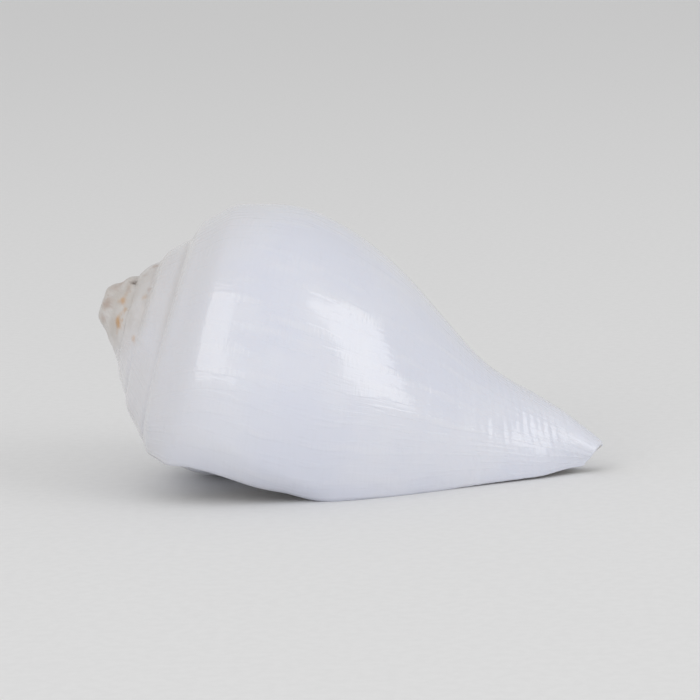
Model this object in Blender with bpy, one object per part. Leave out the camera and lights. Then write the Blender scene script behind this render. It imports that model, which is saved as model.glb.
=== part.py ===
"""Conch shell (sacred chank, Turbinella pyrum): one right-handed spiral shell, lying on its mouth.

The shell is a logarithmic spiral about a coil axis. A profile of the last whorl, from its suture to the
tip of the siphonal canal, shrinks by the same factor each turn back from the lip. The skin is lofted
between those profiles: the spire's whorls, the last whorl, the lip's rim, and the two sides of the
cavity (roof and floor) that winds back inside the last whorl. All of it is one closed body.

Shell frame, before the shell is laid down: +X along the coil axis from the apex to the canal's tip,
stations measured from the apex. Angles about the axis grow from the lip backwards as negative numbers.
"""
from math import pi, radians

import bmesh
import bpy
import numpy as np
from mathutils import Euler, Vector

# Driving dimensions, in metres and degrees
LENGTH = 0.131            # apex to the tip of the canal, along the coil axis
GROWTH = 1.5              # how much larger the shell is after each turn
VIRTUAL_APEX = -0.0018    # station that all the whorls shrink towards
TURNS = 4.825             # whorls, counted from the worn apex knob to the lip
SUTURE_STATION = 0.02016  # where the last suture ends, at the lip
SUTURE_RADIUS = 0.02918
LIP_ANGLE = 75.0          # where the lip's rear end stands about the axis
WALL = 0.0032             # thickness of the last whorl's wall
CANAL_WALL = 0.0013       # thickness of the wall at the canal's tip
APEX_SHIFT = 0.0025       # how far the worn apex stands off the coil axis
CAVITY_DEPTH = 420.0      # how far the cavity is followed back from the lip, in degrees
CANAL_DEPTH = 180.0       # the same, at the open end of the canal
CANAL_SLOT = 35.0         # how far the columella's edge stands back at the canal's tip, in degrees
LIP_ROUNDING = 0.35       # how far the lip's edge stands proud, as a share of its thickness
TIP_SLANT = 0.0040        # how much shorter the canal's tip is on its lower side

# Stations, from the apex
CANAL_START = 0.075       # the wall begins to thin towards the tip
SLOT_START = 0.088        # the canal's slot begins to open
OPEN_CANAL = (0.098, 0.131)     # where the columella flattens into the canal's inner wall
CLOSED_CANAL = (0.095, 0.110)   # where the cavity stops being held open by LEAST_GAP
SLANTED_TIP = (0.115, 0.131)    # the part of the canal that the slant shortens
KNOB = (-0.001, 0.012)          # the worn apex, which stands off the axis

# Turns, and shares of them
CORE_TURNS = (-1.075, -0.525)   # turns from the lip over which the columella becomes the canal
CORE_SOFTNESS = 0.005     # radius over which a whorl runs into the columella or canal, in metres
WORN_TURNS = (1.2, 2.2)   # turns from the apex over which its wear fades out
DEEP_SHARE = 0.62         # share of the mouth's length behind which the cavity is deepest
BEVEL_START = 0.6         # how steeply the lip's bevel begins, against its mean slope
LEAST_GAP = 0.0012        # the cavity's least height behind the mouth, in metres

# Outlines as (station, radius), each read as a smooth curve
LIP_PROFILE = [(0.02016, 0.02918), (0.0209, 0.0310), (0.0248, 0.0369), (0.03114, 0.0436), (0.0392, 0.0461),
               (0.0516, 0.0477), (0.0629, 0.0459), (0.0763, 0.0414), (0.0856, 0.0367), (0.0949, 0.0308),
               (0.1062, 0.0232), (0.1155, 0.0173), (0.1248, 0.0116), (0.1351, 0.0042)]
# How far the lip's edge stands back from its rear end, in degrees, along the lip
LIP_EDGE = [(0.0202, 0.0), (0.0225, 9.0), (0.0245, 15.0), (0.0275, 21.0), (0.0305, 25.5), (0.0340, 28.0),
            (0.0440, 29.2), (0.0540, 28.9), (0.0640, 28.4), (0.0740, 30.6), (0.1310, 30.6)]
# How far the lip's outer edge is bent in, and over how many degrees, along the lip
BEVEL_DEPTH = [(0.0230, 0.0), (0.0300, 0.0004), (0.0390, 0.0016), (0.0480, 0.0023), (0.0570, 0.0025),
               (0.0640, 0.0016), (0.0700, 0.0)]
BEVEL_WIDTH = [(0.0210, 10.0), (0.0260, 12.0), (0.0340, 17.0), (0.0400, 15.5), (0.0470, 12.5), (0.0580, 10.0),
               (0.0650, 8.0), (0.0720, 6.0)]
CANAL_PROFILE = [(0.060, 0.0160), (0.080, 0.0150), (0.090, 0.0140), (0.102, 0.0128), (0.116, 0.0097),
                 (0.124, 0.0069), (0.131, 0.0040)]
COLUMELLA_PROFILE = [(0.000, 0.0000), (0.030, 0.0080), (0.070, 0.0095), (0.090, 0.0090), (0.103, 0.0083),
                     (0.116, 0.0070), (0.124, 0.0057), (0.131, 0.0038)]
# The worn apex as (radius, station)
APEX_PROFILE = [(0.0000, -0.0007), (0.0034, -0.0005), (0.0050, 0.0005), (0.0062, 0.0022), (0.0090, 0.0050)]

# How the shell lies: turned about its axis, the canal lowered, then swung about the vertical
ROLL = -11.9
PITCH = 17.6
YAW = 0.0
WORN_FLAT = 0.0006        # depth of the flat spots worn where it touches the ground

# Mesh resolution
COLUMNS = 56              # per turn
SPIRE_ROWS = 4            # between one suture and the next
BODY_ROWS = 30            # from the last suture to the canal's tip
RIM_ROWS = 2              # across the edge of the lip

COLOUR = (0.66, 0.67, 0.71, 1.0)
ROUGHNESS = 0.25
FULL_TURN = 2 * pi


def smooth_curve(points):
    """A curve through the points that never overshoots them, straight past both ends."""
    x, y = (np.array(column) for column in zip(*points))
    step = np.diff(x)
    slope = np.diff(y) / step
    tangent = np.concatenate(([slope[0]], np.zeros(len(x) - 2), [slope[-1]]))
    for i in range(1, len(x) - 1):
        if slope[i - 1] * slope[i] > 0:
            before = 2 * step[i] + step[i - 1]
            after = step[i] + 2 * step[i - 1]
            tangent[i] = (before + after) / (before / slope[i - 1] + after / slope[i])

    def value(at):
        i = np.clip(np.searchsorted(x, at) - 1, 0, len(step) - 1)
        t = (at - x[i]) / step[i]
        c = np.clip(t, 0, 1)
        inside = (1 + 2 * c) * (1 - c) ** 2 * y[i] + c * c * (3 - 2 * c) * y[i + 1]
        inside += (c * (1 - c) ** 2 * tangent[i] - c * c * (1 - c) * tangent[i + 1]) * step[i]
        return inside + np.minimum(t, 0) * step[i] * tangent[0] + np.maximum(t - 1, 0) * step[i] * tangent[-1]
    return value


lip_profile = smooth_curve(LIP_PROFILE)
canal_profile = smooth_curve(CANAL_PROFILE)
columella_profile = smooth_curve(COLUMELLA_PROFILE)
lip_edge = smooth_curve(LIP_EDGE)
bevel_depth = smooth_curve(BEVEL_DEPTH)
bevel_width = smooth_curve(BEVEL_WIDTH)
apex_profile = smooth_curve(APEX_PROFILE)


def ease(value, low, high):
    """0 below low, 1 above high, smooth between."""
    t = np.clip((value - low) / (high - low), 0, 1)
    return t * t * (3 - 2 * t)


def smooth_max(a, b, width):
    """The larger of two values, rounded where they cross."""
    blend = np.clip(0.5 + 0.5 * (a - b) / width, 0, 1)
    return b * (1 - blend) + a * blend + width * blend * (1 - blend)


def size(angle):
    """How large the shell was when it had grown to this angle, the lip being 1."""
    return GROWTH ** (angle / FULL_TURN)


def shrunk(station, angle):
    """A station on the lip's profile, carried back to an earlier angle."""
    return VIRTUAL_APEX + (station - VIRTUAL_APEX) * size(angle)


def lip_bevel(angle, station):
    """How far the surface is bent in towards the lip's edge."""
    near = np.clip(1 + np.degrees(angle) / bevel_width(station), 0, 1)
    return np.maximum(bevel_depth(station), 0) * near * (BEVEL_START + (1 - BEVEL_START) * near)


def outer_radius(angle, station):
    """The whorl's outer surface, or the columella and canal where those are thicker."""
    whorl = size(angle) * lip_profile(VIRTUAL_APEX + (station - VIRTUAL_APEX) / size(angle))
    around = ease(angle / FULL_TURN, *CORE_TURNS)
    core = columella_profile(station) * (1 - around) + canal_profile(station) * around
    return smooth_max(whorl, core, CORE_SOFTNESS * size(angle))


def wall(angle, station):
    """How thick the shell is there."""
    canal = ease(station, CANAL_START, LENGTH)
    return WALL * size(angle) * (1 - canal) + CANAL_WALL * canal


def cavity_top():
    """The station just under the suture where the cavity begins to open, at the lip."""
    low, high = SUTURE_STATION, SUTURE_STATION + 0.008
    for _ in range(40):
        middle = (low + high) / 2
        gap = outer_radius(0.0, middle) - wall(0.0, middle) - outer_radius(-FULL_TURN, middle)
        low, high = (middle, high) if gap < 0 else (low, middle)
    return high


def place(angle, station, radius):
    """A point of the shell frame: the lip's rear end stands LIP_ANGLE below the near side."""
    about = angle + radians(LIP_ANGLE)
    shift = APEX_SHIFT * (1 - ease(station, *KNOB))
    return Vector((station, -radius * np.cos(about), shift - radius * np.sin(about)))


class Skin:
    """The shell's vertices and faces as they are lofted."""

    def __init__(self):
        self.points = []
        self.faces = []

    def add(self, point):
        self.points.append(Vector(point))
        return len(self.points) - 1

    def loft(self, first, second):
        """Quads between two rows of vertices of equal length; shared vertices make triangles."""
        for a, b, c, d in zip(first, first[1:], second[1:], second):
            corners = list(dict.fromkeys((a, b, c, d)))
            if len(corners) > 2:
                self.faces.append(corners)

    def bridge(self, first, second):
        """Triangles between two rows of unlike length that share both their end vertices."""
        i = j = 0
        while i < len(first) - 1 or j < len(second) - 1:
            ahead = (i + 1) / (len(first) - 1) <= (j + 1) / (len(second) - 1)
            if ahead and i < len(first) - 1 or j == len(second) - 1:
                corners = (first[i], first[i + 1], second[j])
                i += 1
            else:
                corners = (first[i], second[j + 1], second[j])
                j += 1
            if len(set(corners)) == 3:
                self.faces.append(corners)


def canal_recess(station):
    """The columella's edge stands back along the canal, which leaves the canal's slot open."""
    return radians(CANAL_SLOT) * ease(station, SLOT_START, LENGTH)


def lip_recess(station):
    """The lip's edge stands back from its rear end, which reaches furthest round."""
    return np.radians(np.clip(lip_edge(station), 0, LIP_EDGE[-1][1]))


def outer_point(angle, station):
    """A point of the outside. The last whorl stands back from the canal's slot and at the lip."""
    around = 1 + angle / FULL_TURN
    bevel = lip_bevel(angle, station)
    if around > -1e-6:
        angle += canal_recess(station) * (1 - ease(around, 0, 0.5))
        angle -= lip_recess(station) * ease(around, 0.7, 1)
    return place(angle, station, outer_radius(angle, station) - bevel)


def make_outside(skin, top):
    """Columns of vertices from the apex to the lip. A whorl's first vertex is the whorl before's last one."""
    count = round(TURNS * COLUMNS)
    body_steps = np.linspace(0, 1, BODY_ROWS - SPIRE_ROWS - RIM_ROWS + 1)[1:]
    opening = (top - SUTURE_STATION) / (LENGTH - SUTURE_STATION)
    rim_steps = opening * np.arange(1, RIM_ROWS + 1) / RIM_ROWS
    below = np.concatenate((rim_steps, opening + (1 - opening) * body_steps))
    pole = skin.add(place(0.0, APEX_PROFILE[0][1], 0.0))
    columns = []
    for i in range(count + 1):
        angle = (i - count) / COLUMNS * FULL_TURN
        started = i / COLUMNS
        first = pole if i <= COLUMNS else columns[i - COLUMNS][SPIRE_ROWS]
        column = [first]
        suture = shrunk(SUTURE_STATION, angle)
        next_suture = shrunk(SUTURE_STATION, angle + FULL_TURN)
        for row in range(1, SPIRE_ROWS + 1):
            if i == 0:
                column.append(pole)
                continue
            part = row / SPIRE_ROWS
            inner = np.clip(started - 1, 0, 1) ** 0.5 * SUTURE_RADIUS * size(angle)
            outer = min(1.0, started) ** 0.5 * SUTURE_RADIUS * size(angle + FULL_TURN)
            radius = inner + (outer - inner) * part
            worn = place(angle, apex_profile(radius), radius)
            grown = outer_point(angle, suture + (next_suture - suture) * part)
            column.append(skin.add(worn.lerp(grown, ease(started, *WORN_TURNS))))
        if count - i <= COLUMNS:
            for step in below:
                column.append(skin.add(outer_point(angle, next_suture + (LENGTH - next_suture) * step)))
        columns.append(column)
    for first, second in zip(columns, columns[1:]):
        shared = min(len(first), len(second))
        skin.loft(first[:shared], second[:shared])
    return columns


def make_cavity(skin, columns, top):
    """Roof and floor of the cavity, which meet under the suture, and its end wall."""
    half = COLUMNS // 2
    mouth = columns[-1 - COLUMNS][SPIRE_ROWS + RIM_ROWS:]
    lip_stations = [skin.points[v].x for v in columns[-1]]
    floor_stations = [skin.points[v].x for v in mouth]
    roof, floor = [], []
    for k in range(half + 1):
        share = k / half
        sides = []
        for stations, first in ((lip_stations, SUTURE_STATION), (floor_stations, top)):
            side = []
            for station in stations:
                along = (station - first) / (LENGTH - first)
                depth = CANAL_DEPTH + (CAVITY_DEPTH - CANAL_DEPTH) * (1 - ease(along, 0.0, DEEP_SHARE))
                back = radians(depth) * share
                begin = shrunk(top, -back)
                at = begin + (LENGTH - begin) * along
                side.append((along, back, at))
            sides.append(side)
        roof_column, floor_column = [], []
        for row, (along, back, at) in enumerate(sides[1]):
            turned = canal_recess(at) * (1 - share) - FULL_TURN - back
            inside = place(turned, at, outer_radius(turned, at))
            ring = outer_point(-FULL_TURN + pi * share, at)
            edge = min(1.0, share * 6) ** 0.5
            ring.yz *= 1 - wall(-FULL_TURN + pi * share, at) * edge / ring.yz.length
            point = inside.lerp(ring, ease(at, *OPEN_CANAL))
            floor_column.append(mouth[row] if k == 0 else skin.add(point))
        for row, (along, back, at) in enumerate(sides[0]):
            if row == 0:
                roof_column.append(floor_column[0])
                continue
            if k == half and row == len(sides[0]) - 1:
                roof_column.append(floor_column[-1])
                continue
            turned = -back - lip_recess(at) * (1 - ease(share, 0, 0.3))
            low = outer_radius(-FULL_TURN + turned, at)
            high = outer_radius(turned, at) - lip_bevel(-back, at) - wall(turned, at)
            gap = LEAST_GAP * ease(along, 0, 0.05) * (1 - ease(at, *CLOSED_CANAL))
            roof_column.append(skin.add(place(turned, at, max(high, low + gap))))
        roof.append(roof_column)
        floor.append(floor_column)
    for side in (roof, floor):
        for first, second in zip(side, side[1:]):
            skin.loft(first, second)
    skin.bridge(roof[-1], floor[-1])
    return roof, floor


def make_rim(skin, columns, roof, floor):
    """The rounded edge of the lip and the canal's open end, from the outside to the cavity."""
    ring = columns[-1 - COLUMNS:]
    outer = columns[-1] + [column[-1] for column in reversed(ring[:-1])]
    inner = roof[0] + [column[-1] for column in roof[1:]] + [column[-1] for column in reversed(floor[:-1])]
    corner = ring[0][SPIRE_ROWS:SPIRE_ROWS + RIM_ROWS + 1]
    rows = [outer]
    for step in range(1, RIM_ROWS):
        part = step / RIM_ROWS
        row = [corner[step]]
        for index in range(1, len(outer)):
            start, end = skin.points[outer[index]], skin.points[inner[index]]
            if outer[index] == inner[index]:
                row.append(outer[index])
                continue
            forward = Vector((0, start.z, -start.y)).normalized() * -1
            at_tip = ease(index, len(columns[-1]) - 3, len(columns[-1]) + 1)
            proud = (end - start).length * LIP_ROUNDING * np.sin(pi * part)
            bulge = forward.lerp(Vector((1, 0, 0)), at_tip) * proud
            row.append(skin.add(start.lerp(end, part) + bulge))
        rows.append(row)
    rows.append(inner)
    for first, second in zip(rows, rows[1:]):
        skin.loft(first, second)


def lay_down(points):
    """Slant the canal's tip and turn the shell into the pose it rests in, just under the ground."""
    for point in points:
        lower_side = 0.5 - 0.5 * point.z / max(point.yz.length, 1e-6)
        point.x -= TIP_SLANT * ease(point.x, *SLANTED_TIP) * lower_side
    turn = Euler((radians(ROLL), radians(PITCH), radians(YAW)), 'XYZ').to_matrix()
    placed = [turn @ point for point in points]
    low = [min(point[axis] for point in placed) for axis in range(3)]
    high = [max(point[axis] for point in placed) for axis in range(3)]
    shift = Vector(((low[0] + high[0]) / 2, (low[1] + high[1]) / 2, low[2] + WORN_FLAT))
    return [point - shift for point in placed]


def wear_flat(mesh):
    """Cut the mesh off at the ground and close the cuts with flat faces."""
    everything = mesh.verts[:] + mesh.edges[:] + mesh.faces[:]
    cut = bmesh.ops.bisect_plane(mesh, geom=everything, dist=1e-6, plane_co=(0, 0, 0), plane_no=(0, 0, -1),
                                 clear_outer=True)
    edges = [item for item in cut['geom_cut'] if isinstance(item, bmesh.types.BMEdge)]
    bmesh.ops.holes_fill(mesh, edges=edges, sides=0)


def porcelain():
    material = bpy.data.materials.new('shell_white')
    material.use_nodes = True
    shader = material.node_tree.nodes['Principled BSDF']
    shader.inputs['Base Color'].default_value = COLOUR
    shader.inputs['Roughness'].default_value = ROUGHNESS
    shader.inputs['Metallic'].default_value = 0.0
    return material


def main():
    for existing in list(bpy.data.objects):
        bpy.data.objects.remove(existing, do_unlink=True)
    skin = Skin()
    top = cavity_top()
    columns = make_outside(skin, top)
    roof, floor = make_cavity(skin, columns, top)
    make_rim(skin, columns, roof, floor)
    mesh = bpy.data.meshes.new('shell')
    mesh.from_pydata(lay_down(skin.points), [], skin.faces)
    solid = bmesh.new()
    solid.from_mesh(mesh)
    wear_flat(solid)
    bmesh.ops.recalc_face_normals(solid, faces=solid.faces)
    solid.to_mesh(mesh)
    solid.free()
    mesh.shade_smooth()
    shell = bpy.data.objects.new('shell', mesh)
    shell.data.materials.append(porcelain())
    collection = bpy.data.collections.new('conch_shell')
    bpy.context.scene.collection.children.link(collection)
    collection.objects.link(shell)


main()
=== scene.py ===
"""Looks of the conch shell (sacred chank): its skin in full detail, porcelain, floor, light and camera.

The skin is lofted with the same spiral as the CAD part, finer, and then carved: cords and growth lines,
the sutures' grooves, the folds on the columella and the worn, pitted spire.

Shell frame, before the shell is laid down: +X along the coil axis from the apex to the canal's tip,
stations measured from the apex. Angles about the axis grow from the lip backwards as negative numbers.
"""
from math import pi, radians

import bmesh
import bpy
import numpy as np
from mathutils import Euler, Matrix, Vector


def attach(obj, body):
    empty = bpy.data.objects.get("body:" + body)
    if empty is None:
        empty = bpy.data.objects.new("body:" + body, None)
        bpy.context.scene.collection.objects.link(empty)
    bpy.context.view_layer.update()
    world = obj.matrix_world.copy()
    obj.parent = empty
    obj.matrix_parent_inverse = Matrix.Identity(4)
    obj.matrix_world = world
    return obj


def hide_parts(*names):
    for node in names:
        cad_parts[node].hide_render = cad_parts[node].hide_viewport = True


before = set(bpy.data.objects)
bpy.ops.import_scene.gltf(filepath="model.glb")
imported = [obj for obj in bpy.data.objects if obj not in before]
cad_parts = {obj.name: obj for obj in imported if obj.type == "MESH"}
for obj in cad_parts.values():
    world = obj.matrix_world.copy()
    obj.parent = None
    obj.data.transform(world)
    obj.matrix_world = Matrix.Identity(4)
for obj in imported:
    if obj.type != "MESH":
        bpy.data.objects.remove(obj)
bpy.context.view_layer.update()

# Driving dimensions, in metres and degrees: those of the CAD part
LENGTH = 0.131
GROWTH = 1.5
VIRTUAL_APEX = -0.0018
TURNS = 4.825
SUTURE_STATION = 0.02016
SUTURE_RADIUS = 0.02918
LIP_ANGLE = 75.0
WALL = 0.0032
CANAL_WALL = 0.0013
APEX_SHIFT = 0.0025
CAVITY_DEPTH = 420.0
CANAL_DEPTH = 180.0
CANAL_SLOT = 35.0
LIP_ROUNDING = 0.35
TIP_SLANT = 0.0040
CANAL_START = 0.075
SLOT_START = 0.088
OPEN_CANAL = (0.098, 0.131)
CLOSED_CANAL = (0.095, 0.110)
SLANTED_TIP = (0.115, 0.131)
KNOB = (-0.001, 0.012)
CORE_TURNS = (-1.075, -0.525)
CORE_SOFTNESS = 0.005
WORN_TURNS = (1.2, 2.2)
DEEP_SHARE = 0.62
BEVEL_START = 0.6
LEAST_GAP = 0.0012
SLOT_FADE = (0.0, 0.5)    # turns from the start of the last whorl
LIP_FADE = (0.7, 1.0)
LIP_PROFILE = [(0.02016, 0.02918), (0.0209, 0.0310), (0.0248, 0.0369), (0.03114, 0.0436), (0.0392, 0.0461),
               (0.0516, 0.0477), (0.0629, 0.0459), (0.0763, 0.0414), (0.0856, 0.0367), (0.0949, 0.0308),
               (0.1062, 0.0232), (0.1155, 0.0173), (0.1248, 0.0116), (0.1351, 0.0042)]
# How far the lip's edge stands back from its rear end, in degrees, along the lip
LIP_EDGE = [(0.0202, 0.0), (0.0225, 9.0), (0.0245, 15.0), (0.0275, 21.0), (0.0305, 25.5), (0.0340, 28.0),
            (0.0440, 29.2), (0.0540, 28.9), (0.0640, 28.4), (0.0740, 30.6), (0.1310, 30.6)]
# How far the lip's outer edge is bent in, and over how many degrees, along the lip
BEVEL_DEPTH = [(0.0230, 0.0), (0.0300, 0.0004), (0.0390, 0.0016), (0.0480, 0.0023), (0.0570, 0.0025),
               (0.0640, 0.0016), (0.0700, 0.0)]
BEVEL_WIDTH = [(0.0210, 10.0), (0.0260, 12.0), (0.0340, 17.0), (0.0400, 15.5), (0.0470, 12.5), (0.0580, 10.0),
               (0.0650, 8.0), (0.0720, 6.0)]
CANAL_PROFILE = [(0.060, 0.0160), (0.080, 0.0150), (0.090, 0.0140), (0.102, 0.0128), (0.116, 0.0097),
                 (0.124, 0.0069), (0.131, 0.0040)]
COLUMELLA_PROFILE = [(0.000, 0.0000), (0.030, 0.0080), (0.070, 0.0095), (0.090, 0.0090), (0.103, 0.0083),
                     (0.116, 0.0070), (0.124, 0.0057), (0.131, 0.0038)]
APEX_PROFILE = [(0.0000, -0.0007), (0.0034, -0.0005), (0.0050, 0.0005), (0.0062, 0.0022), (0.0090, 0.0050)]
ROLL, PITCH, YAW = -11.9, 17.6, 0.0
WORN_FLAT = 0.0006
FULL_TURN = 2 * pi
MM = 0.001
TINY = 1e-6

# Mesh resolution
COLUMNS = 224
SPIRE_ROWS = 14
BODY_ROWS = 178
RIM_ROWS = 6
THREAD_START = 0.070      # the station from which rows run closer, to carry the canal's threads
THREAD_BLEND = 0.008      # how far to each side of it the rows close up
THREAD_DENSITY = 2.6
PROFILE_SAMPLES = 2000


# ---------------------------------------------------------------- curves and noise

def smooth_curve(points):
    """A curve through the points that never overshoots them, straight past both ends."""
    x, y = (np.array(column) for column in zip(*points))
    step = np.diff(x)
    slope = np.diff(y) / step
    tangent = np.concatenate(([slope[0]], np.zeros(len(x) - 2), [slope[-1]]))
    for i in range(1, len(x) - 1):
        if slope[i - 1] * slope[i] > 0:
            before = 2 * step[i] + step[i - 1]
            after = step[i] + 2 * step[i - 1]
            tangent[i] = (before + after) / (before / slope[i - 1] + after / slope[i])

    def value(at):
        i = np.clip(np.searchsorted(x, at) - 1, 0, len(step) - 1)
        t = (at - x[i]) / step[i]
        c = np.clip(t, 0, 1)
        inside = (1 + 2 * c) * (1 - c) ** 2 * y[i] + c * c * (3 - 2 * c) * y[i + 1]
        inside += (c * (1 - c) ** 2 * tangent[i] - c * c * (1 - c) * tangent[i + 1]) * step[i]
        return inside + np.minimum(t, 0) * step[i] * tangent[0] + np.maximum(t - 1, 0) * step[i] * tangent[-1]
    return value


lip_profile = smooth_curve(LIP_PROFILE)
canal_profile = smooth_curve(CANAL_PROFILE)
columella_profile = smooth_curve(COLUMELLA_PROFILE)
lip_edge = smooth_curve(LIP_EDGE)
bevel_depth = smooth_curve(BEVEL_DEPTH)
bevel_width = smooth_curve(BEVEL_WIDTH)
apex_profile = smooth_curve(APEX_PROFILE)


def ease(value, low, high):
    """0 below low, 1 above high, smooth between."""
    t = np.clip((value - low) / (high - low), 0, 1)
    return t * t * (3 - 2 * t)


def smooth_max(a, b, width):
    """The larger of two values, rounded where they cross."""
    blend = np.clip(0.5 + 0.5 * (a - b) / width, 0, 1)
    return b * (1 - blend) + a * blend + width * blend * (1 - blend)


def bump(value, centre, width):
    """1 at the centre, falling smoothly to 0 at about twice the width."""
    return np.exp(-((value - centre) / width) ** 2)


NOISE_VALUES = 4096
NOISE_STRIDES = (1, 57, 1619)
NOISE_SHUFFLE = 31


def noise(seed, *coordinates):
    """Smooth noise between -1 and 1 on a lattice of unit cells, in one, two or three dimensions."""
    table = np.random.default_rng(seed).uniform(-1, 1, NOISE_VALUES)
    cells = [np.floor(c).astype(int) for c in coordinates]
    parts = [ease(c - i, 0, 1) for c, i in zip(coordinates, cells)]
    total = 0
    for corner in range(2 ** len(cells)):
        weight, key = 1.0, 0
        for axis, (cell, part) in enumerate(zip(cells, parts)):
            bit = corner >> axis & 1
            weight = weight * (part if bit else 1 - part)
            key = key + (cell + bit) * NOISE_STRIDES[axis]
        total = total + weight * table[key * NOISE_SHUFFLE % NOISE_VALUES]
    return total


# ---------------------------------------------------------------- the spiral

def size(angle):
    """How large the shell was when it had grown to this angle, the lip being 1."""
    return GROWTH ** (angle / FULL_TURN)


def shrunk(station, angle):
    """A station on the lip's profile, carried back to an earlier angle."""
    return VIRTUAL_APEX + (station - VIRTUAL_APEX) * size(angle)


def lip_bevel(angle, station):
    """How far the surface is bent in towards the lip's edge."""
    near = np.clip(1 + np.degrees(angle) / bevel_width(station), 0, 1)
    return np.maximum(bevel_depth(station), 0) * near * (BEVEL_START + (1 - BEVEL_START) * near)


def outer_radius(angle, station):
    """The whorl's outer surface, or the columella and canal where those are thicker."""
    whorl = size(angle) * lip_profile(VIRTUAL_APEX + (station - VIRTUAL_APEX) / size(angle))
    around = ease(angle / FULL_TURN, *CORE_TURNS)
    core = columella_profile(station) * (1 - around) + canal_profile(station) * around
    return smooth_max(whorl, core, CORE_SOFTNESS * size(angle))


def wall(angle, station):
    """How thick the shell is there."""
    canal = ease(station, CANAL_START, LENGTH)
    return WALL * size(angle) * (1 - canal) + CANAL_WALL * canal


NEXT_SUTURE = shrunk(SUTURE_STATION, FULL_TURN)   # where, on a whorl's profile, the next whorl covers it
TOP_SEARCH = 0.008        # how far below the suture the cavity's top is looked for
HALVINGS = 40


def cavity_top():
    """The station just under the suture where the cavity begins to open at the lip, found by halving."""
    low, high = SUTURE_STATION, SUTURE_STATION + TOP_SEARCH
    for _ in range(HALVINGS):
        middle = (low + high) / 2
        gap = outer_radius(0.0, middle) - wall(0.0, middle) - outer_radius(-FULL_TURN, middle)
        low, high = (middle, high) if gap < 0 else (low, middle)
    return high


def place(angle, station, radius):
    """Points of the shell frame: the lip stands LIP_ANGLE below the near side."""
    angle, station, radius = np.broadcast_arrays(angle, station, radius)
    about = angle + radians(LIP_ANGLE)
    shift = APEX_SHIFT * (1 - ease(station, *KNOB))
    return np.stack((station, -radius * np.cos(about), shift - radius * np.sin(about)), -1)


def canal_recess(station):
    """The columella's edge stands back along the canal, which leaves the canal's slot open."""
    return radians(CANAL_SLOT) * ease(station, SLOT_START, LENGTH)


def lip_recess(station):
    """The lip's edge stands back from its rear end, which reaches furthest round."""
    return np.radians(np.clip(lip_edge(station), 0, LIP_EDGE[-1][1]))


def outer_point(angle, station):
    """Points of the outside. The last whorl stands back from the canal's slot and at the lip."""
    around = 1 + angle / FULL_TURN
    back = canal_recess(station) * (1 - ease(around, *SLOT_FADE))
    back = back - lip_recess(station) * ease(around, *LIP_FADE)
    turned = angle + np.where(around > -TINY, back, 0)
    return place(turned, station, outer_radius(turned, station) - lip_bevel(angle, station))


# ---------------------------------------------------------------- the skin

OUTSIDE, ROOF, FLOOR, RIM = range(4)      # the kinds of a vertex


class Skin:
    """The shell's vertices and faces, each vertex with its angle, its profile station and its kind."""

    def __init__(self):
        self.points, self.angles, self.stations, self.kinds = [], [], [], []
        self.count = 0
        self.faces, self.uvs = [], []

    def add(self, points, angle, station, kind):
        """Adds a grid of points and gives the grid of their numbers."""
        shape = points.shape[:-1]
        total = int(np.prod(shape))
        self.points.append(points.reshape(total, 3))
        for store, value in ((self.angles, angle), (self.stations, station), (self.kinds, kind)):
            store.append(np.broadcast_to(value, shape).reshape(total).astype(float))
        self.count += total
        return np.arange(self.count - total, self.count).reshape(shape)

    def loft(self, ids, u, v):
        """Quads over a grid of vertex numbers; shared vertices make triangles."""
        u, v = np.broadcast_to(u, ids.shape), np.broadcast_to(v, ids.shape)
        corners = ((slice(None, -1), slice(None, -1)), (slice(None, -1), slice(1, None)),
                   (slice(1, None), slice(1, None)), (slice(1, None), slice(None, -1)))
        quads = np.stack([ids[c] for c in corners], -1).reshape(-1, 4)
        us = np.stack([u[c] for c in corners], -1).reshape(-1, 4)
        vs = np.stack([v[c] for c in corners], -1).reshape(-1, 4)
        for quad, qu, qv in zip(quads.tolist(), us.tolist(), vs.tolist()):
            kept = [k for k in range(4) if quad[k] not in quad[:k]]
            if len(kept) > 2:
                self.faces.append([quad[k] for k in kept])
                self.uvs.extend((qu[k], qv[k]) for k in kept)


def profile_station(angle, station):
    """The station on the lip's profile that a point of an earlier whorl grew from."""
    return VIRTUAL_APEX + (station - VIRTUAL_APEX) / size(angle)


def body_steps(top):
    """Where the rows of the last whorl run, as shares of the way from the suture to the tip."""
    opening = (top - SUTURE_STATION) / (LENGTH - SUTURE_STATION)
    rim = opening * np.arange(1, RIM_ROWS + 1) / RIM_ROWS
    fine = np.linspace(opening, 1, PROFILE_SAMPLES)
    station = SUTURE_STATION + (LENGTH - SUTURE_STATION) * fine
    length = np.hypot(np.diff(station), np.diff(lip_profile(station)))
    threaded = ease(station[1:], THREAD_START - THREAD_BLEND, THREAD_START + THREAD_BLEND)
    length *= 1 + (THREAD_DENSITY - 1) * threaded
    run = np.concatenate(([0], np.cumsum(length)))
    even = np.linspace(0, run[-1], BODY_ROWS - SPIRE_ROWS - RIM_ROWS + 1)[1:]
    return np.concatenate((rim, np.interp(even, run, fine)))


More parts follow.
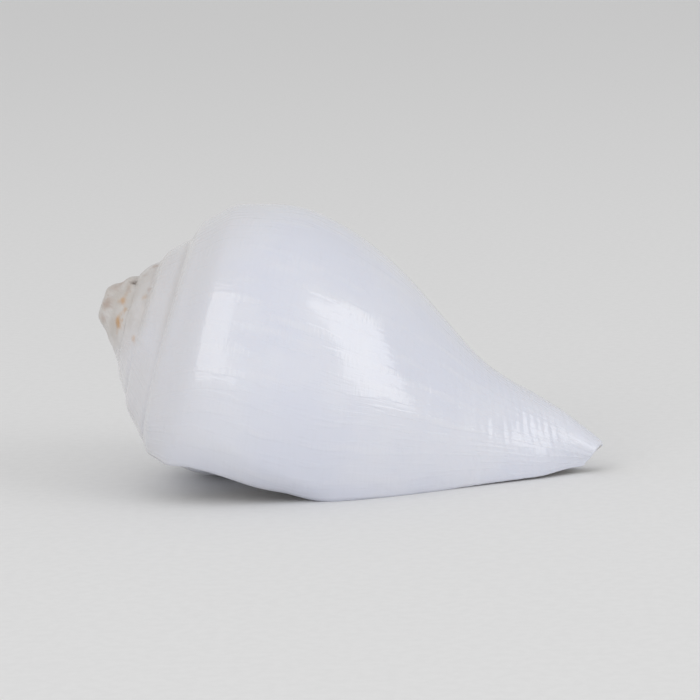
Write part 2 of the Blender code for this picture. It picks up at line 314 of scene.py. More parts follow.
def make_outside(skin, top):
    """Columns of vertices from the apex to the lip. A whorl's first vertex is the whorl before's last one."""
    count = round(TURNS * COLUMNS)
    below = body_steps(top)
    apex = place(0.0, APEX_PROFILE[0][1], 0.0)
    pole = skin.add(apex[None], -TURNS * FULL_TURN, SUTURE_STATION, OUTSIDE)[0]
    index = np.arange(count + 1)
    angle = ((index - count) / COLUMNS * FULL_TURN)[:, None]
    started = (index / COLUMNS)[:, None]
    part = np.arange(SPIRE_ROWS + 1)[None, :] / SPIRE_ROWS
    suture, next_suture = shrunk(SUTURE_STATION, angle), shrunk(SUTURE_STATION, angle + FULL_TURN)
    station = suture + (next_suture - suture) * part
    inner = np.clip(started - 1, 0, 1) ** 0.5 * SUTURE_RADIUS * size(angle)
    outer = np.minimum(1.0, started) ** 0.5 * SUTURE_RADIUS * size(angle + FULL_TURN)
    radius = inner + (outer - inner) * part
    worn = place(angle, apex_profile(radius), radius)
    grown = outer_point(angle, station)
    points = worn + (grown - worn) * ease(started, *WORN_TURNS)[..., None]
    ids = np.full((count + 1, SPIRE_ROWS + 1), pole)
    grown_from = profile_station(angle, station)
    ids[1:, 1:] = skin.add(points[1:, 1:], angle[1:], grown_from[1:, 1:], OUTSIDE)
    ids[COLUMNS:, 0] = ids[:count + 1 - COLUMNS, SPIRE_ROWS]
    skin.loft(ids, angle / FULL_TURN, grown_from)
    last = angle[count - COLUMNS:]
    begin = next_suture[count - COLUMNS:]
    station = begin + (LENGTH - begin) * below[None, :]
    body = skin.add(outer_point(last, station), last, profile_station(last, station), OUTSIDE)
    whole = np.concatenate((ids[count - COLUMNS:], body), 1)
    stations = np.concatenate((begin, station), 1)
    skin.loft(whole[:, SPIRE_ROWS:], last / FULL_TURN, profile_station(last, stations))
    return whole, below


EDGE_STEEPNESS = 6        # the floor's wall is whole from a sixth of the way in
RECESS_SHARE = 0.3        # the share of the way in over which the lip's recess fades out
GAP_SHARE = 0.05          # the share of the mouth's length over which the roof lifts off the floor


def cavity_grid(stations, first, top, share):
    """How far along the mouth each column is, how far back each row has gone, and the stations there."""
    along = ((stations - first) / (LENGTH - first))[None, :]
    depth = CANAL_DEPTH + (CAVITY_DEPTH - CANAL_DEPTH) * (1 - ease(along, 0.0, DEEP_SHARE))
    back = np.radians(depth) * share
    begin = shrunk(top, -back)
    return along, back, begin + (LENGTH - begin) * along


def make_cavity(skin, whole, below, top):
    """Roof and floor of the cavity, which meet under the suture."""
    half = COLUMNS // 2
    share = (np.arange(half + 1) / half)[:, None]
    spire_steps = np.arange(SPIRE_ROWS + 1) / SPIRE_ROWS
    lip = np.concatenate((SUTURE_STATION + (NEXT_SUTURE - SUTURE_STATION) * spire_steps,
                          NEXT_SUTURE + (LENGTH - NEXT_SUTURE) * below))
    mouth = SUTURE_STATION + (LENGTH - SUTURE_STATION) * below[RIM_ROWS - 1:]

    along, back, at = cavity_grid(mouth, top, top, share)
    turned = canal_recess(at) * (1 - share) - FULL_TURN - back
    inside = place(turned, at, outer_radius(turned, at))
    ring = outer_point(-FULL_TURN + pi * share, at)
    edge = np.minimum(1.0, share * EDGE_STEEPNESS) ** 0.5
    distance = np.hypot(ring[..., 1], ring[..., 2])
    ring[..., 1:] *= (1 - wall(-FULL_TURN + pi * share, at) * edge / distance)[..., None]
    points = inside + (ring - inside) * ease(at, *OPEN_CANAL)[..., None]
    floor = np.empty(back.shape, int)
    floor[0] = whole[0, SPIRE_ROWS + RIM_ROWS:]
    floor_angle, floor_station = -FULL_TURN - back, at
    floor[1:] = skin.add(points[1:], floor_angle[1:], at[1:], FLOOR)

    along, back, at = cavity_grid(lip, SUTURE_STATION, top, share)
    turned = -back - lip_recess(at) * (1 - ease(share, 0, RECESS_SHARE))
    low = outer_radius(-FULL_TURN + turned, at)
    gap = LEAST_GAP * ease(along, 0, GAP_SHARE) * (1 - ease(at, *CLOSED_CANAL))
    high = np.maximum(outer_radius(turned, at) - lip_bevel(-back, at) - wall(turned, at), low + gap)
    roof = np.empty(back.shape, int)
    roof[:, 1:] = skin.add(place(turned, at, high)[:, 1:], -back[:, 1:], at[:, 1:], ROOF)
    roof[:, 0] = floor[:, 0]
    roof[-1, -1] = floor[-1, -1]
    skin.loft(roof, -back / FULL_TURN, at)
    skin.loft(floor, floor_angle / FULL_TURN, floor_station)
    return roof, floor


def bridge(skin, first, second):
    """The cavity's end wall: triangles between two rows of unlike length that share both end vertices."""
    i = j = 0
    while i < len(first) - 1 or j < len(second) - 1:
        ahead = (i + 1) / (len(first) - 1) <= (j + 1) / (len(second) - 1)
        if ahead and i < len(first) - 1 or j == len(second) - 1:
            corners = (first[i], first[i + 1], second[j])
            i += 1
        else:
            corners = (first[i], second[j + 1], second[j])
            j += 1
        if len(set(corners)) == 3:
            skin.faces.append([int(c) for c in corners])
            skin.uvs.extend([(0.0, 0.0)] * 3)


TIP_BEND = (-3, 1)        # the vertices about the lip's end over which the rim turns to face the tip


def make_rim(skin, whole, roof, floor):
    """The edge of the lip and the canal's open end, from the outside to the cavity."""
    points = np.concatenate(skin.points)
    outer = np.concatenate((whole[-1], whole[-2::-1, -1]))
    inner = np.concatenate((roof[0], roof[1:, -1], floor[-2::-1, -1]))
    corner = whole[0, SPIRE_ROWS:SPIRE_ROWS + RIM_ROWS + 1]
    start, end = points[outer], points[inner]
    forward = np.stack((np.zeros(len(start)), -start[:, 2], start[:, 1]), -1)
    forward /= np.linalg.norm(forward, axis=1)[:, None]
    past_lip = np.arange(len(outer)) - whole.shape[1]
    at_tip = ease(past_lip, *TIP_BEND)[:, None]
    direction = forward + (np.array((1.0, 0, 0)) - forward) * at_tip
    thickness = np.linalg.norm(end - start, axis=1)[:, None]
    rows = [outer]
    for step in range(1, RIM_ROWS):
        part = step / RIM_ROWS
        between = start + (end - start) * part + direction * thickness * LIP_ROUNDING * np.sin(pi * part)
        row = np.empty(len(outer), int)
        row[0] = corner[step]
        row[1:] = skin.add(between[1:], 0.0, between[1:, 0], RIM)
        row[outer == inner] = outer[outer == inner]
        rows.append(row)
    rows.append(inner)
    skin.loft(np.array(rows), 0.0, np.zeros(len(outer)))


# ---------------------------------------------------------------- carving

INSET = 0.9965            # keeps the carved relief within the part's box

# The canal's cords. A pair of stations is where something begins and where it is whole
CORDS_GROW = (0.072, 0.114)
CORDS_FADE = (0.118, 0.129)
FADED_SHARE = 0.6
CORD_SPACING = 2.15 * MM
FINE_SPACING = 0.43 * CORD_SPACING
CORD_WANDER = 0.45 * MM
CORD_SLANT = 26 * MM      # how far a cord drifts along the canal in one turn
CORDS_SLANT = (0.075, 0.125)
LEVEL_TURN = -0.19        # where, in turns from the lip, the slanting cords are level with the others
EVEN_CORDS, UNEVEN_CORDS = 0.55, 0.85     # how much the evenly and the unevenly spaced ones count
LEAST_CORD = 0.15         # how much is left of a cord where it is weakest
UNLIKENESS = 1.7          # how far apart in the noise two neighbouring cords are
UNEVEN_SPACING = 0.85 * MM
BROAD_HEIGHT, FINE_HEIGHT = 0.085 * MM, 0.042 * MM

# The growth lines
LINE_LEAN = 0.006         # how far they bend back, in turns
LINES_LEAN = (0.02, 0.10)         # stations between which they bend, most at the middle
LINE_WANDER = 0.004       # how far they stray, in turns
LEAST_LINE = 0.10
LOW_LINE, HIGH_LINE, CROSSING_LINE = 0.065 * MM, 0.024 * MM, 0.014 * MM
LINES_CROSS = (0.080, 0.105)


def patches(seed, turn, station, per_turn, length):
    """Noise in patches, this many to a turn and this long along the shell."""
    return noise(seed, turn * per_turn, station / length)


def lifted(value, least):
    """Carries noise from -1 to 1 to the range from the least share to 1."""
    return least + (1 - least) * (0.5 + 0.5 * value)


def threads(turn, station, at):
    """The cords that run round the shell, strongest on the canal, where they slant across it."""
    slant = CORD_SLANT * ease(at, *CORDS_SLANT) * (turn - LEVEL_TURN)
    wander = station + slant + CORD_WANDER * patches(11, turn, station, per_turn=7, length=4 * MM)
    cord = wander / CORD_SPACING
    depth = lifted(noise(12, turn * 11, np.floor(cord) * UNLIKENESS), LEAST_CORD)
    broad = EVEN_CORDS * np.sin(2 * pi * cord) * depth
    broad = broad + UNEVEN_CORDS * noise(14, wander / UNEVEN_SPACING, turn * 13)
    fine = np.sin(2 * pi * wander / FINE_SPACING)
    fine = fine * lifted(patches(13, turn, wander, per_turn=20, length=1.3 * MM), 0.0)
    strength = ease(at, *CORDS_GROW) * (1 - FADED_SHARE * ease(at, *CORDS_FADE))
    return strength * (BROAD_HEIGHT * broad + FINE_HEIGHT * fine)


def growth_lines(turn, station, at):
    """Low ridges left where the lip once stood, sharper where they cross the canal's cords."""
    lean = LINE_LEAN * np.sin(pi * ease(at, *LINES_LEAN))
    wander = turn + LINE_WANDER * noise(21, station / (22 * MM), turn * 3) - lean
    low = LOW_LINE * patches(23, wander, station, per_turn=26, length=60 * MM)
    high = HIGH_LINE * patches(24, wander, station, per_turn=75, length=40 * MM)
    crossing = CROSSING_LINE * patches(25, wander, station, per_turn=170, length=5 * MM)
    strength = lifted(patches(22, turn, station, per_turn=9, length=14 * MM), LEAST_LINE)
    return (low + high + crossing * ease(at, *LINES_CROSS)) * strength


# Where the shell stands fuller or flatter than its even growth, as (turns from the lip, station on the
# lip's profile, spread in turns, spread in station, height)
UNEVEN = [(-0.41, 0.0350, 0.07, 0.0062, -0.60 * MM), (-0.41, 0.0242, 0.06, 0.0020, 0.30 * MM),
          (-1.375, 0.0258, 0.08, 0.0030, -0.40 * MM), (-1.025, 0.0232, 0.035, 0.0030, 0.90 * MM),
          (-3.36, 0.0280, 0.06, 0.0035, 1.10 * MM), (-0.235, 0.0890, 0.05, 0.0060, -0.30 * MM)]
LONG_SWELL, SHORT_SWELL = 0.14 * MM, 0.05 * MM


def swells(turn, station):
    """Slow unevenness of the whole surface."""
    total = LONG_SWELL * patches(31, turn, station, per_turn=6, length=17 * MM)
    total = total + SHORT_SWELL * patches(32, turn, station, per_turn=15, length=8 * MM)
    for at_turn, at_station, turns, along, height in UNEVEN:
        total = total + height * bump(turn, at_turn, turns) * bump(station, at_station, along)
    return total


# The sutures. A pair of turns from the lip, or of sizes, is where a gradual change begins and ends
OUT_OF_REACH = 1.0        # a distance at which no groove shows, in metres
SMOOTH_FROM, SMOOTH_TO = (-0.24, -0.12), (0.0, 0.10)
BROAD_FROM, BROAD_TO = (-0.55, -0.40), (-0.32, -0.22)
GROUND_SHARE = 0.92       # how much of the relief is lost where the shell is ground smooth
GROOVE_DEPTH, GROOVE_WIDTH = 0.42 * MM, 0.9 * MM
ADDED_DEPTH, ADDED_WIDTH = 0.26 * MM, 0.6 * MM    # what the broad stretch has more
LEAST_GROOVE = 0.2
FILLING_HEIGHT, FILLING_WIDTH = 0.62 * MM, 2.8 * MM
FILLING_TO = (0.48, 0.53)
EDGE_HEIGHT, EDGE_PLACE, EDGE_WIDTH = 0.42 * MM, 2.2 * MM, 1.2 * MM
WRINKLE_HEIGHT, WRINKLE_PLACE, WRINKLE_WIDTH = 0.05 * MM, 2.5 * MM, 2.5 * MM
SUTURES_FROM = (0.25, 0.5)


def near_sutures(angle, station):
    """How far, in metres, a point is from the suture above it and from the one that the next whorl covers."""
    scale = size(angle)
    above = (station - SUTURE_STATION) * scale
    below = np.where(angle < -FULL_TURN + TINY, (NEXT_SUTURE - station) * scale, OUT_OF_REACH)
    return above, below


def smoothed(turn):
    """1 on the side that is ground smooth, where the sutures fade out, and 0 elsewhere."""
    around = (turn + 0.5) % 1 - 0.5
    return ease(around, *SMOOTH_FROM) * (1 - ease(around, *SMOOTH_TO))


def suture_groove(distance, turn):
    """A groove that is broad on the last whorl's top, and filled up where the shell is ground smooth."""
    broad = ease(turn, *BROAD_FROM) * (1 - ease(turn, *BROAD_TO))
    fresh = lifted(noise(41, turn * 9), LEAST_GROOVE) * (1 - GROUND_SHARE * smoothed(turn))
    groove = (GROOVE_DEPTH + ADDED_DEPTH * broad) * bump(distance, 0, GROOVE_WIDTH + ADDED_WIDTH * broad)
    scale = size(turn * FULL_TURN)
    filling = FILLING_HEIGHT * scale * bump(distance, 0, FILLING_WIDTH * scale) * smoothed(turn)
    return filling * (1 - ease((turn + 0.5) % 1, *FILLING_TO)) - groove * fresh


def sutures(angle, station):
    """A soft groove along each suture, and the raised edge of the whorl below it."""
    above, below = near_sutures(angle, station)
    turn = angle / FULL_TURN
    edge = EDGE_HEIGHT * bump(above, EDGE_PLACE, EDGE_WIDTH) * (1 - GROUND_SHARE * smoothed(turn))
    wrinkles = WRINKLE_HEIGHT * patches(42, turn, station, per_turn=70, length=6 * MM)
    wrinkles = wrinkles * bump(above, WRINKLE_PLACE, WRINKLE_WIDTH)
    total = suture_groove(above, turn) + suture_groove(below, turn + 1) + edge + wrinkles
    return total * ease(size(angle), *SUTURES_FROM)


# The columella's folds, as (station at the mouth, height)
FOLDS = [(0.0655, 0.9 * MM), (0.0725, 1.25 * MM), (0.0795, 1.0 * MM)]
FOLD_WIDTH = 1.35 * MM
FOLD_SLANT = 7 * MM       # how far a fold drifts along the columella in one turn
FOLDS_FROM, FOLDS_TO = (-1.75, -1.1), (-1.012, -1.0)


def columella_folds(turn, at):
    """Three strong folds that wind in from the mouth on the columella."""
    level = at + FOLD_SLANT * (turn + 1)
    total = sum(height * bump(level, station, FOLD_WIDTH) for station, height in FOLDS)
    return total * ease(turn, *FOLDS_FROM) * (1 - ease(turn, *FOLDS_TO))


# Stains on the worn spire, as (x, y and z in the shell frame and width, in millimetres, and strength)
TAN_SPOTS = [(5.3, -9.0, -1.6, 1.9, 1.0), (5.2, -8.9, -4.0, 0.9, 0.6), (4.9, -8.5, 4.0, 1.3, 0.8),
             (4.0, -8.0, 3.6, 0.8, 0.5), (5.4, -8.3, 5.5, 0.9, 0.5), (6.3, -10.3, 2.0, 1.0, 0.6),
             (10.6, -15.7, 6.0, 0.9, 0.5), (11.0, -16.7, -4.8, 0.9, 0.6)]
BROWN_SMUDGES = [(1.1, -5.3, 2.4, 2.0, 0.8), (1.0, -3.3, -1.2, 1.7, 0.7), (1.6, -4.0, 6.8, 1.8, 0.6),
                 (5.7, -7.7, 7.2, 1.1, 0.6), (3.2, -3.0, 9.0, 2.0, 1.0), (6.6, -1.5, 12.0, 2.0, 1.0),
                 (5.2, -8.9, -1.9, 1.2, 0.9), (8.8, -8.5, 11.5, 1.0, 0.7), (10.6, -6.5, 14.5, 1.7, 1.0),
                 (11.4, -15.0, 8.4, 0.8, 0.7)]
# One pit beside the apex and one small notch low on the last whorl, given in the same way, carved in and
# darkened with painted shade
PITS = [(6.3, -7.3, 9.0, 0.80, 1.0), (27.6, -24.5, -31.3, 0.55, 1.0)]
PIT_DEPTH = 0.9 * MM
SPOT_CORE, SPOT_EDGE = 0.10, 1.30         # shares of a spot's width
RAGGED = [(61, 0.40, 0.9 * MM), (62, 0.30, 0.45 * MM)]
LUMPS = [(51, 0.26 * MM, 3.3 * MM), (52, 0.09 * MM, 1.5 * MM)]


def grained(points, layers):
    """Noise over the points, summed over layers of (seed, height, grain)."""
    return sum(height * noise(seed, *(points / grain).T) for seed, height, grain in layers)


def spots(points, places):
    """1 on each of the places, 0 away from them, with ragged edges."""
    ragged = 1 + grained(points, RAGGED)
    total = np.zeros(len(points))
    for x, y, z, width, strength in places:
        distance = np.linalg.norm(points - np.array((x, y, z)) * MM, axis=1)
        near = 1 - ease(distance * ragged, SPOT_CORE * width * MM, SPOT_EDGE * width * MM)
        total = np.maximum(total, strength * near)
    return total


# The ends of each look's gradual edge, as stations on the shell
WORN = (0.005, 0.017)
WORN_LEAN = 0.45          # the wear reaches less far on the shell's underside
SPIRE = (0.012, 0.040)
CANAL = (0.085, 0.105)
LINING, DEEP = (0.02, 0.40), (0.4, 2.5)   # these in radians into the mouth
DEEP_END = (0.01, 0.05)                   # and this in metres from the canal's tip
# How wide the painted shade along the sutures is
SEAM_WIDTH = 1.2 * MM


def marks(points, angle, station, kind):
    """Where the surface is worn, stained, pitted or part of the mouth, and where shade is painted along the
    sutures and in the pits, from 0 to 1 for each vertex.
    """
    at = points[:, 0]
    outside = kind == OUTSIDE
    depth = np.where(kind == ROOF, -angle, np.where(kind == FLOOR, -angle - FULL_TURN, 0))
    from_knob = at + WORN_LEAN * np.maximum(-points[:, 2], 0)
    # Painted shade: the colour is darkened along the sutures' grooves, less where they are ground smooth
    seams = [bump(distance, 0, SEAM_WIDTH) for distance in near_sutures(angle, station)]
    seam_shade = np.maximum(*seams) * (1 - smoothed(angle / FULL_TURN))
    return {
        'worn': (1 - ease(from_knob, *WORN)) * outside,
        'seam_shade': seam_shade * outside,
        'spire': (1 - ease(at, *SPIRE)) * outside,
        'tan': spots(points, TAN_SPOTS) * outside,
        'brown': spots(points, BROWN_SMUDGES) * outside,
        # Painted shade: near black in the pits, which are also carved in
        'pit_shade': spots(points, PITS),
        'canal': ease(at, *CANAL),
        'inside': ease(depth, *LINING),
        'deep': ease(depth, *DEEP) * ease(LENGTH - at, *DEEP_END),
    }


def vertex_points(mesh):
    """The mesh's vertices as an array with a row for each."""
    points = np.empty(len(mesh.vertices) * 3)
    mesh.vertices.foreach_get('co', points)
    return points.reshape(-1, 3)


KNOB_WEAR = (0.004, 0.014)        # stations between which lumps give way to the finer relief
SPIRE_LINES = (0.010, 0.022)      # stations between which the growth lines fall to half their height


def carve(mesh, angle, station, kind):
    """Moves each vertex along its normal by the relief of the place it is at."""
    normal = np.empty(len(mesh.vertices) * 3)
    mesh.vertex_normals.foreach_get('vector', normal)
    normal = normal.reshape(-1, 3)
    points = vertex_points(mesh)
    at, turn = points[:, 0], angle / FULL_TURN
    worn, spire = 1 - ease(at, *KNOB_WEAR), 1 - ease(at, *SPIRE_LINES)
    relief = threads(turn, station, at) + growth_lines(turn, station, at) * (1 + spire)
    relief += sutures(angle, station)
    relief = relief * (1 - worn) + grained(points, LUMPS) * worn
    relief += swells(turn, station) - PIT_DEPTH * spots(points, PITS)
    moved = np.where(kind == OUTSIDE, relief, np.where(kind == FLOOR, columella_folds(turn, at), 0.0))
    points += normal * moved[:, None]
    mesh.vertices.foreach_set('co', points.ravel())


def lay_down(points):
    """Slant the canal's tip and turn the shell into the pose it rests in, just under the ground."""
    distance = np.maximum(np.hypot(points[:, 1], points[:, 2]), TINY)
    lower_side = 0.5 - 0.5 * points[:, 2] / distance
    points[:, 0] -= TIP_SLANT * ease(points[:, 0], *SLANTED_TIP) * lower_side
    turn = np.array(Euler((radians(ROLL), radians(PITCH), radians(YAW)), 'XYZ').to_matrix())
    placed = points @ turn.T
    low, high = placed.min(0), placed.max(0)
    placed -= ((low[0] + high[0]) / 2, (low[1] + high[1]) / 2, low[2] + WORN_FLAT)
    return placed * INSET


def face_outwards(mesh):
    """Turn the mesh's faces outwards, so that its vertex normals can be trusted."""
    turner = bmesh.new()
    turner.from_mesh(mesh)
    bmesh.ops.recalc_face_normals(turner, faces=turner.faces)
    turner.to_mesh(mesh)
    turner.free()


def wear_flat(mesh):
    """Cut the mesh off at the ground, close the cuts with flat faces and drop vertices without faces."""
    solid = bmesh.new()
    solid.from_mesh(mesh)
    bmesh.ops.delete(solid, geom=[v for v in solid.verts if not v.link_faces], context='VERTS')
    everything = solid.verts[:] + solid.edges[:] + solid.faces[:]
    cut = bmesh.ops.bisect_plane(solid, geom=everything, dist=TINY, plane_co=(0, 0, 0), plane_no=(0, 0, -1),
                                 clear_outer=True)
    edges = [item for item in cut['geom_cut'] if isinstance(item, bmesh.types.BMEdge)]
    bmesh.ops.holes_fill(solid, edges=edges, sides=0)
    bmesh.ops.recalc_face_normals(solid, faces=solid.faces)
    solid.to_mesh(mesh)
    solid.free()


def make_shell():
    """The shell's carved and laid down skin, as one object."""
    skin = Skin()
    top = cavity_top()
    whole, below = make_outside(skin, top)
    roof, floor = make_cavity(skin, whole, below, top)
    bridge(skin, roof[-1], floor[-1])
    make_rim(skin, whole, roof, floor)
    smooth = np.concatenate(skin.points)
    angle, station, kind = (np.concatenate(a) for a in (skin.angles, skin.stations, skin.kinds))
    mesh = bpy.data.meshes.new('shell_skin')
    mesh.from_pydata(smooth, [], skin.faces)
    uv = mesh.uv_layers.new(name='growth')
    uv.data.foreach_set('uv', np.array(skin.uvs).ravel())
    face_outwards(mesh)
    carve(mesh, angle, station, kind)
    for name, values in marks(smooth, angle, station, kind).items():
        mesh.attributes.new(name, 'FLOAT', 'POINT').data.foreach_set('value', values)
    mesh.vertices.foreach_set('co', lay_down(vertex_points(mesh)).ravel())
    wear_flat(mesh)
    mesh.shade_smooth()
    shell = bpy.data.objects.new('shell_skin', mesh)
    bpy.context.scene.collection.objects.link(shell)
    return shell


# ---------------------------------------------------------------- looks

# The Mix node's inputs, and its output, when it mixes colours
MIX_SHARE, MIX_FIRST, MIX_SECOND = 0, 6, 7
MIX_RESULT = 2


class Shading:
    """A material's node tree, with short calls for the nodes used here."""

    def __init__(self, name):
        self.material = bpy.data.materials.new(name)
        self.material.use_nodes = True
        self.tree = self.material.node_tree
        self.shader = self.tree.nodes['Principled BSDF']

    def node(self, kind, inputs=(), **settings):
        node = self.tree.nodes.new('ShaderNode' + kind)
        for name, value in settings.items():
            setattr(node, name, value)
        for socket, value in dict(inputs).items():
            self.feed(node.inputs[socket], value)
        return node

    def feed(self, socket, value):
        if isinstance(value, bpy.types.NodeSocket):
            self.tree.links.new(value, socket)
        else:
            socket.default_value = value

    def attribute(self, name):
        return self.node('Attribute', attribute_name=name).outputs['Fac']

    def stretched(self, source, scale):
        """Coordinates scaled apart along each axis."""
        return self.node('VectorMath', {0: source, 1: scale}, operation='MULTIPLY').outputs[0]

    def noise(self, where, detail=2.0, roughness=0.5, scale=1.0):
        return self.node('TexNoise', {'Vector': where, 'Scale': scale, 'Detail': detail,
                                      'Roughness': roughness}).outputs['Fac']

    def span(self, value, low, high, to_low=0.0, to_high=1.0):
        """The value's low-to-high range carried smoothly to another range."""
        return self.node('MapRange', {'Value': value, 'From Min': low, 'From Max': high, 'To Min': to_low,
                                      'To Max': to_high}, interpolation_type='SMOOTHSTEP').outputs[0]

    def math(self, operation, a, b):
        return self.node('Math', {0: a, 1: b}, operation=operation).outputs[0]

    def mix(self, share, first, second):
        """Two colours mixed by a share."""
        node = self.node('Mix', data_type='RGBA')
        self.feed(node.inputs[MIX_SHARE], share)
        self.feed(node.inputs[MIX_FIRST], first)
        self.feed(node.inputs[MIX_SECOND], second)
        return node.outputs[MIX_RESULT]

    def bump(self, height, distance, below=None):
        node = self.node('Bump', {'Height': height, 'Distance': distance, 'Strength': 1.0})
        if below is not None:
            self.feed(node.inputs['Normal'], below)
        return node.outputs['Normal']


WHITE = (0.655, 0.672, 0.755, 1)
MILK = (0.690, 0.702, 0.765, 1)
PALE_BAND = (0.715, 0.722, 0.770, 1)
DULL = (0.60, 0.61, 0.67, 1)
SPIRE_WHITE = (0.650, 0.640, 0.665, 1)
KNOB_GREY = (0.53, 0.495, 0.465, 1)
KNOB_CREAM = (0.61, 0.585, 0.57, 1)
TAN = (0.50, 0.27, 0.09, 1)
BROWN = (0.36, 0.24, 0.18, 1)
# Painted shade for the pits
PIT_SHADE = (0.07, 0.035, 0.02, 1)
MOUTH_WHITE = (0.74, 0.70, 0.66, 1)
MOUTH_PEACH = (0.72, 0.47, 0.32, 1)

# How fine each pattern is: noise cells in a metre, or in a turn and in a metre along the lip's profile
CLOUD_SCALE, BLOTCH_SCALE, POLISH_SCALE, BRUSH_SCALE = 45.0, 230.0, 90.0, 70.0
BAND_SCALE = (60.0, 45.0, 1.0)
THREAD_SCALE = (42.0, 1100.0, 1.0)
STREAK_SCALE = (330.0, 120.0, 1.0)
FINE_ROUGHNESS = 0.45     # how strongly the finer layers of a noise count
THREAD_RELIEF, STREAK_RELIEF, KNOB_RELIEF = 0.000080, 0.000034, 0.0004        # metres
# The noise values between which each pattern turns on
MILKY, BANDED, DULLED, WARM = (0.38, 0.68), (0.50, 0.75), (0.50, 0.75), (0.30, 0.60)
CREAMY, STAINED = (0.36, 0.66), (0.30, 0.60)
BRUSHED, THREADED, UNPOLISHED = (0.48, 0.60), (0.46, 0.58), (0.35, 0.7)
# How strongly each pattern shows, where a pair is for places with the pattern off and on
BAND_SHARE, DULL_SHARE, SEAM_SHADE_SHARE, BROWN_SHARE = 0.45, 0.10, 0.35, 0.65
TAN_SHARE, WARM_SHARE, BRUSHED_SHARE, THREADED_SHARE = (0.40, 0.90), (0.6, 1.0), (0.10, 1.0), (0.12, 1.0)
CANAL_BRUSHING = 0.25
POLISH = (0.12, 0.22)     # the roughness of the most and the least polished places
KNOB_ROUGHNESS = 0.22
COAT_WEIGHT, KNOB_COAT_WEIGHT = 0.85, 0.25
PORCELAIN = {'Coat Roughness': 0.045, 'Coat IOR': 1.5, 'IOR': 1.5, 'Subsurface Weight': 0.12,
             'Subsurface Radius': (1.0, 0.8, 0.7), 'Subsurface Scale': 0.002}


def porcelain_colour(look, clouds, bands, threads, blotches):
    """Bluish white, milky in patches, warmer and stained towards the knob, peach deep in the mouth, with
    painted shade along the sutures and in the pits.
    """
    colour = look.mix(look.span(clouds, *MILKY), WHITE, MILK)
    colour = look.mix(look.span(bands, *BANDED, 0.0, BAND_SHARE), colour, PALE_BAND)
    colour = look.mix(look.span(threads, *DULLED, 0.0, DULL_SHARE), colour, DULL)
    warm = look.math('MULTIPLY', look.attribute('spire'), look.span(clouds, *WARM, *WARM_SHARE))
    colour = look.mix(warm, colour, SPIRE_WHITE)
    knob = look.mix(look.span(blotches, *CREAMY), KNOB_GREY, KNOB_CREAM)
    colour = look.mix(look.attribute('worn'), colour, knob)
    # Painted shade along the sutures' grooves, in the knob's grey
    colour = look.mix(look.math('MULTIPLY', look.attribute('seam_shade'), SEAM_SHADE_SHARE), colour, KNOB_GREY)
    colour = look.mix(look.math('MULTIPLY', look.attribute('brown'), BROWN_SHARE), colour, BROWN)
    tan = look.math('MULTIPLY', look.attribute('tan'), look.span(blotches, *STAINED, *TAN_SHARE))
    colour = look.mix(tan, colour, TAN)
    # Painted shade, near black, in the pits and the notch
    colour = look.mix(look.attribute('pit_shade'), colour, PIT_SHADE)
    lining = look.mix(look.attribute('deep'), MOUTH_WHITE, MOUTH_PEACH)
    return look.mix(look.attribute('inside'), colour, lining)


def porcelain_relief(look, place, bands, threads, streaks, blotches):
    """Fine threads, brush marks in patches that are fainter on the canal, and the knob's grain."""
    brushed = look.span(look.noise(place, detail=1.0, scale=BRUSH_SCALE), *BRUSHED, *BRUSHED_SHARE)
    off_canal = look.span(look.attribute('canal'), 0.0, 1.0, 1.0, CANAL_BRUSHING)
    brushed = look.math('MULTIPLY', brushed, off_canal)
    threads = look.math('MULTIPLY', threads, look.span(bands, *THREADED, *THREADED_SHARE))
    relief = look.bump(threads, THREAD_RELIEF)
    relief = look.bump(look.math('MULTIPLY', streaks, brushed), STREAK_RELIEF, relief)
    return look.bump(look.math('MULTIPLY', blotches, look.attribute('worn')), KNOB_RELIEF, relief)


def porcelain():
    """Polished shell under a clear coat, duller on the worn knob."""
    look = Shading('porcelain')
    growth = look.node('UVMap', uv_map='growth').outputs['UV']
    place = look.node('TexCoord').outputs['Object']
    clouds = look.noise(place, detail=3.0, scale=CLOUD_SCALE)
    bands = look.noise(look.stretched(growth, BAND_SCALE), detail=3.0)
    threads = look.noise(look.stretched(growth, THREAD_SCALE), roughness=FINE_ROUGHNESS)
    streaks = look.noise(look.stretched(growth, STREAK_SCALE), roughness=FINE_ROUGHNESS)
    blotches = look.noise(place, detail=4.0, scale=BLOTCH_SCALE)
    worn = look.attribute('worn')
    rough = look.span(look.noise(place, scale=POLISH_SCALE), *UNPOLISHED, *POLISH)
    relief = porcelain_relief(look, place, bands, threads, streaks, blotches)
    inputs = {'Base Color': porcelain_colour(look, clouds, bands, threads, blotches),
              'Roughness': look.math('ADD', rough, look.math('MULTIPLY', worn, KNOB_ROUGHNESS)),
              'Coat Weight': look.span(worn, 0.0, 1.0, COAT_WEIGHT, KNOB_COAT_WEIGHT),
              'Normal': relief, 'Coat Normal': relief}
    for name, value in (inputs | PORCELAIN).items():
        look.feed(look.shader.inputs[name], value)
    return look.material


# ---------------------------------------------------------------- floor, light and camera

LAMP_DISTANCE = 2.0
LAMP_TARGET = Vector((0, 0, 0.035))
WORLD_LIGHT = 0.68
FLOOR_SIZE = 14
FLOOR_DARK, FLOOR_PALE = (0.80, 0.80, 0.80, 1), (0.82, 0.82, 0.82, 1)
SPECKLE_SCALE = 400.0
SPECKLED = (0.3, 0.7)
FLOOR_ROUGHNESS = 0.9


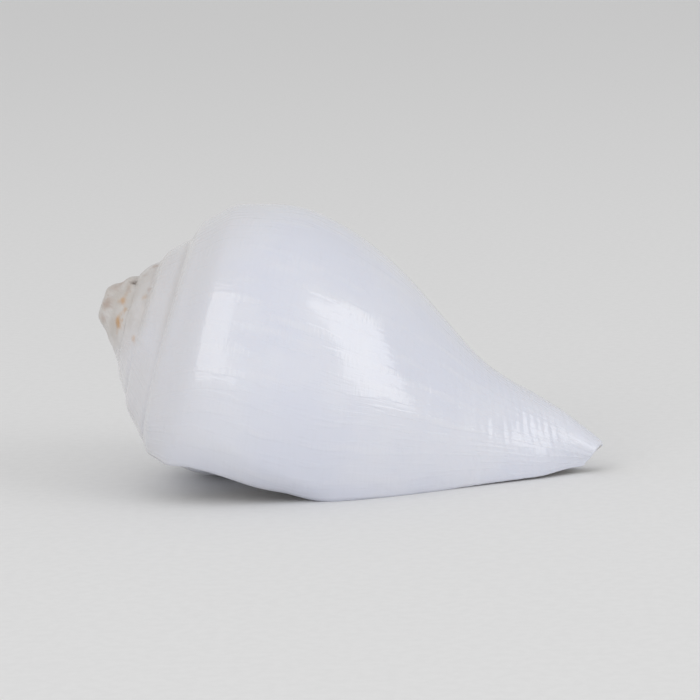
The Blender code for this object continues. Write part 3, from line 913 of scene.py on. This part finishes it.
def soft_box(name, azimuth, elevation, roll, width, height, radiance):
    """A rectangular lamp that faces the shell. Azimuth 0 is the camera's side, and 90 its right."""
    light = bpy.data.lights.new(name, 'AREA')
    light.shape, light.size, light.size_y = 'RECTANGLE', width, height
    light.energy = radiance * pi * width * height
    turn, rise = radians(azimuth), radians(elevation)
    towards = Vector((np.sin(turn) * np.cos(rise), -np.cos(turn) * np.cos(rise), np.sin(rise)))
    lamp = bpy.data.objects.new(name, light)
    lamp.location = LAMP_TARGET + towards * LAMP_DISTANCE
    facing = towards.to_track_quat('Z', 'Y').to_matrix() @ Matrix.Rotation(radians(roll), 3, 'Z')
    lamp.rotation_euler = facing.to_euler()
    bpy.context.scene.collection.objects.link(lamp)
    return lamp


def make_floor():
    """A pale, dull floor with a faint speckle."""
    look = Shading('pale_floor')
    speckle = look.noise(look.node('TexCoord').outputs['Object'], detail=3.0, scale=SPECKLE_SCALE)
    tone = look.mix(look.span(speckle, *SPECKLED), FLOOR_DARK, FLOOR_PALE)
    look.feed(look.shader.inputs['Base Color'], tone)
    look.feed(look.shader.inputs['Roughness'], FLOOR_ROUGHNESS)
    bpy.ops.mesh.primitive_plane_add(size=FLOOR_SIZE)
    ground = bpy.context.object
    ground.name = 'floor'
    ground.data.materials.append(look.material)


def make_light():
    """Two soft boxes that the shell mirrors, a fill that it doesn't, and an even world."""
    world = bpy.data.worlds.new('studio')
    bpy.context.scene.world = world
    world.use_nodes = True
    background = world.node_tree.nodes['Background']
    background.inputs['Color'].default_value = (1.0, 1.0, 1.0, 1)
    background.inputs['Strength'].default_value = WORLD_LIGHT
    soft_box('window_left', azimuth=-41, elevation=30, roll=8, width=1.15, height=2.1, radiance=1.05)
    soft_box('window_right', azimuth=62, elevation=24, roll=-14, width=0.96, height=1.95, radiance=1.38)
    fill = soft_box('front_fill', azimuth=12, elevation=4, roll=0, width=5.0, height=0.8, radiance=1.1)
    fill.visible_glossy = False
    bpy.context.scene.view_settings.view_transform = 'Standard'


CAMERA_AZIMUTH, CAMERA_ELEVATION, CAMERA_ROLL = 3.65, 8.6, -1.70
CAMERA_SHIFT = (-0.00053, 0.03213)     # where it looks, across and up from the origin
FOCAL, SENSOR = 150.0, 36.0            # millimetres
FRAME_WIDTH = 0.17689                  # how much the picture shows, across, where the shell is


def make_camera():
    """A long lens that looks at the shell's near side from a little above."""
    data = bpy.data.cameras.new('camera')
    data.lens, data.sensor_width = FOCAL, SENSOR
    camera = bpy.data.objects.new('camera', data)
    azimuth, elevation = radians(CAMERA_AZIMUTH), radians(CAMERA_ELEVATION)
    back = Vector((np.sin(azimuth) * np.cos(elevation), -np.cos(azimuth) * np.cos(elevation),
                   np.sin(elevation)))
    right = Vector((np.cos(azimuth), np.sin(azimuth), 0))
    roll = Matrix.Rotation(radians(CAMERA_ROLL), 3, 'Z')
    facing = Matrix((right, back.cross(right), back)).transposed() @ roll
    across, up = CAMERA_SHIFT
    camera.location = facing @ Vector((across, up, 0)) + back * FRAME_WIDTH * FOCAL / SENSOR
    camera.rotation_euler = facing.to_euler()
    bpy.context.scene.collection.objects.link(camera)
    bpy.context.scene.camera = camera


shell = make_shell()
shell.data.materials.append(porcelain())
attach(shell, 'root')
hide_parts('shell')
make_floor()
make_light()
make_camera()
